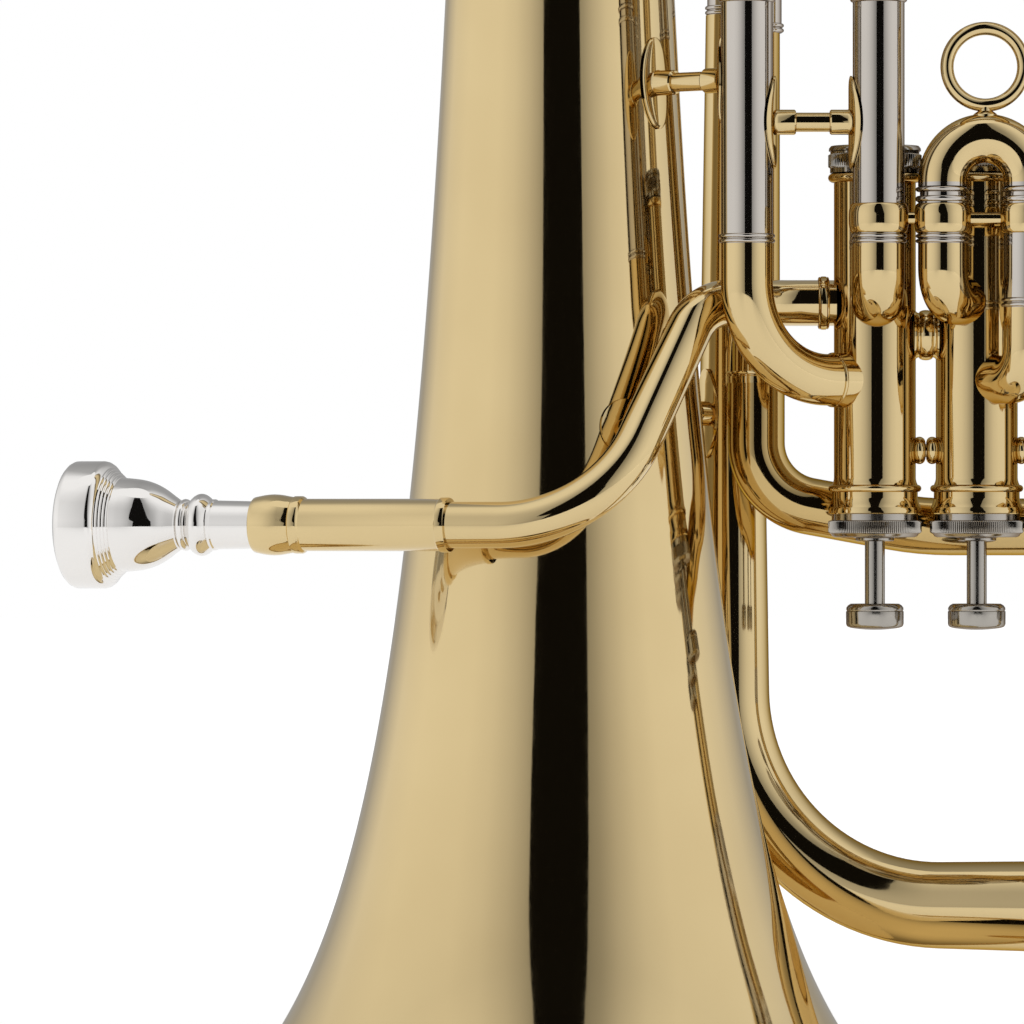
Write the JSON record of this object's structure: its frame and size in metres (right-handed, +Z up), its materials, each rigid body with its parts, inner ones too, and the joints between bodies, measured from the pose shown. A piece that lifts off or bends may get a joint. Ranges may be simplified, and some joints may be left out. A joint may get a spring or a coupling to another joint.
{
  "type": "baritone horn",
  "caption": "Brass baritone horn standing on its bell, with conical branches, piston valves, pull-out tuning slides, a water key and a removable mouthpiece.",
  "frame": {"origin": "centre of the bell's rim circle, in the plane of the rim that the horn stands on", "axes": "+Z up along the bell's axis from the rim to the throat; +X from the bell towards the valves and the outer branch; -Y is the side of the valve slides and the leadpipe"},
  "size_m": [0.4145, 0.2799, 0.6737],
  "materials": {
    "lacquered_brass": "polished and clear lacquered",
    "nickel_silver": "polished",
    "silver_plate": "mirror polished silver plate",
    "monel": "lapped",
    "spring_steel": "drawn wire",
    "cork": "natural cork"
  },
  "bodies": {
    "horn": {"bell": "lacquered_brass", "bell_brace": "lacquered_brass", "bottom_bow": "lacquered_brass", "bottom_cap_1": "nickel_silver", "bottom_cap_2": "nickel_silver", "bottom_cap_3": "nickel_silver", "branch_braces": "lacquered_brass", "branch_ferrules": "nickel_silver", "casing_braces": "lacquered_brass", "casing_saddles": "lacquered_brass", "feed_tube": "lacquered_brass", "first_slide_sleeves": "nickel_silver", "first_slide_tubes": "lacquered_brass", "front_bow": "lacquered_brass", "inner_branch": "lacquered_brass", "leadpipe": "lacquered_brass", "leadpipe_brace": "lacquered_brass", "main_slide_sleeves": "nickel_silver", "outer_branch": "lacquered_brass", "outlet_bow": "lacquered_brass", "receiver": "lacquered_brass", "second_slide_sleeves": "nickel_silver", "second_slide_tubes": "lacquered_brass", "slide_braces": "lacquered_brass", "third_slide_sleeves": "nickel_silver", "third_slide_tubes": "lacquered_brass", "top_cap_1": "nickel_silver", "top_cap_2": "nickel_silver", "top_cap_3": "nickel_silver", "tube_ferrules": "lacquered_brass", "valve_bridge_1": "lacquered_brass", "valve_bridge_2": "lacquered_brass", "valve_casing_1": "lacquered_brass", "valve_casing_2": "lacquered_brass", "valve_casing_3": "lacquered_brass", "valve_spring_1": "spring_steel", "valve_spring_2": "spring_steel", "valve_spring_3": "spring_steel"},
    "valve_1": {"piston_1": "monel", "valve_stem_1": "nickel_silver", "finger_button_1": "nickel_silver"},
    "valve_2": {"piston_2": "monel", "valve_stem_2": "nickel_silver", "finger_button_2": "nickel_silver"},
    "valve_3": {"piston_3": "monel", "valve_stem_3": "nickel_silver", "finger_button_3": "nickel_silver"},
    "first_slide": {"first_slide_crook": "lacquered_brass", "first_slide_legs": "nickel_silver"},
    "second_slide": {"second_slide_crook": "lacquered_brass", "second_slide_legs": "nickel_silver", "second_slide_ring": "lacquered_brass"},
    "third_slide": {"third_slide_crook": "lacquered_brass", "third_slide_legs": "nickel_silver"},
    "main_slide": {"main_slide_crook": "lacquered_brass", "main_slide_legs": "nickel_silver", "water_key_saddle": "lacquered_brass"},
    "water_key": {"water_key_lever": "lacquered_brass", "water_key_cork": "cork"},
    "mouthpiece_body": {"mouthpiece": "silver_plate"}
  },
  "joints": [
    {"name": "valve_1_press", "type": "slide", "parent": "horn", "child": "valve_1", "axis": [0, 0, 1], "range_m": [0, 0.018], "stiffness_N_per_m": 150, "springref_m": -0.02, "deforming": ["valve_spring_1"]},
    {"name": "valve_2_press", "type": "slide", "parent": "horn", "child": "valve_2", "axis": [0, 0, 1], "range_m": [0, 0.018], "stiffness_N_per_m": 150, "springref_m": -0.02, "deforming": ["valve_spring_2"]},
    {"name": "valve_3_press", "type": "slide", "parent": "horn", "child": "valve_3", "axis": [0, 0, 1], "range_m": [0, 0.018], "stiffness_N_per_m": 150, "springref_m": -0.02, "deforming": ["valve_spring_3"]},
    {"name": "first_slide_pull", "type": "slide", "parent": "horn", "child": "first_slide", "axis": [0, 0, 1], "range_m": [0, 0.06]},
    {"name": "second_slide_pull", "type": "slide", "parent": "horn", "child": "second_slide", "axis": [0, 0, 1], "range_m": [0, 0.015]},
    {"name": "third_slide_pull", "type": "slide", "parent": "horn", "child": "third_slide", "axis": [0, 0, 1], "range_m": [0, 0.1]},
    {"name": "main_slide_pull", "type": "slide", "parent": "horn", "child": "main_slide", "axis": [0, 0, 1], "range_m": [0, 0.055]},
    {"name": "water_key_press", "type": "hinge", "parent": "main_slide", "child": "water_key", "pos_m": [0.05581, 0.03386, 0.47011], "axis": [-0.9865, -0.1636, 0], "range_deg": [0, 15], "stiffness_Nm_per_rad": 0.05, "springref_deg": -17.19},
    {"name": "mouthpiece_pull", "type": "slide", "parent": "horn", "child": "mouthpiece_body", "axis": [-0.9563, 0.2924, 0], "range_m": [0, 0.025]}
  ]
}
